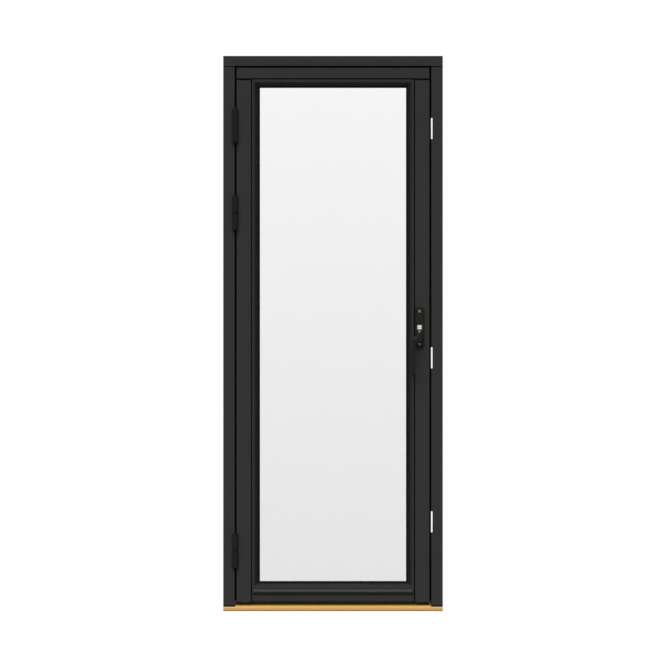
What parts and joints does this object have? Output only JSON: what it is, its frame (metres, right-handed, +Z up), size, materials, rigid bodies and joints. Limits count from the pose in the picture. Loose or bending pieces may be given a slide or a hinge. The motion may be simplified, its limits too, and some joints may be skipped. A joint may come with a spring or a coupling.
{
  "type": "glazed balcony door with frame",
  "caption": "Inward-opening timber balcony door: triple-glazed leaf with a drip moulding, cranked handle with a child lock button, hung in a rebated frame on an oak threshold.",
  "frame": {"origin": "centre of the threshold's underside: half the frame's width, half the frame's depth", "axes": "+Z up; -Y towards the room side, which has the hinge barrels and the handle; +X to the right as seen from the room side, towards the lock jamb"},
  "size_m": [0.785, 0.1755, 1.985],
  "materials": {
    "oak": "oiled oak",
    "rail_aluminium": "mill",
    "frame_paint": "anthracite satin paint",
    "leaf_paint": "anthracite satin paint",
    "moulding_paint": "anthracite satin paint",
    "bead_paint": "anthracite satin paint",
    "seal_rubber": "matt black",
    "gasket_rubber": "matt black",
    "pane_glass": "clear",
    "spacer_plastic": "matt",
    "lock_steel": "zinc plated",
    "strike_steel": "zinc plated",
    "hinge_metal": "black paint",
    "washer_plastic": "matt",
    "handle_metal": "black paint",
    "screw_zinc": "yellow zinc",
    "button_chrome": "satin"
  },
  "bodies": {
    "frame": {"threshold": "oak", "threshold_weather_rail": "rail_aluminium", "frame_head": "frame_paint", "frame_hinge_jamb": "frame_paint", "frame_lock_jamb": "frame_paint", "frame_seal": "seal_rubber", "hinge_washers": "washer_plastic", "hinge_frame_half_upper": "hinge_metal", "hinge_frame_half_middle": "hinge_metal", "hinge_frame_half_lower": "hinge_metal", "strike_plate_upper": "strike_steel", "strike_plate_middle": "strike_steel", "strike_plate_lower": "strike_steel"},
    "leaf": {"leaf_hinge_stile": "leaf_paint", "leaf_lock_stile": "leaf_paint", "leaf_top_rail": "leaf_paint", "leaf_bottom_rail": "leaf_paint", "drip_moulding": "moulding_paint", "weather_bar": "moulding_paint", "bead_hinge_side": "bead_paint", "bead_lock_side": "bead_paint", "bead_top": "bead_paint", "bead_bottom": "bead_paint", "glazing_gasket_front": "gasket_rubber", "glazing_gasket_back": "gasket_rubber", "glass_pane_front": "pane_glass", "glass_pane_middle": "pane_glass", "glass_pane_back": "pane_glass", "glass_spacer_front": "spacer_plastic", "glass_spacer_back": "spacer_plastic", "lock_faceplate": "lock_steel", "lock_bolts": "lock_steel", "handle_backplate": "handle_metal", "handle_screws": "screw_zinc", "hinge_leaf_half_upper": "hinge_metal", "hinge_leaf_half_middle": "hinge_metal", "hinge_leaf_half_lower": "hinge_metal"},
    "handle": {"handle_lever": "handle_metal", "handle_spindle": "lock_steel"},
    "child_lock": {"child_lock_button": "button_chrome"}
  },
  "joints": [
    {"name": "leaf_swing", "type": "hinge", "parent": "frame", "child": "leaf", "pos_m": [-0.3503, -0.0685, 0], "axis": [0, 0, -1], "range_deg": [0, 110]},
    {"name": "handle_turn", "type": "hinge", "parent": "leaf", "child": "handle", "pos_m": [0.3094, -0.0575, 0.977], "axis": [0, 1, 0], "range_deg": [0, 90]},
    {"name": "child_lock_press", "type": "slide", "parent": "leaf", "child": "child_lock", "axis": [0, 1, 0], "range_m": [0, 0.003], "stiffness_N_per_m": 300}
  ]
}
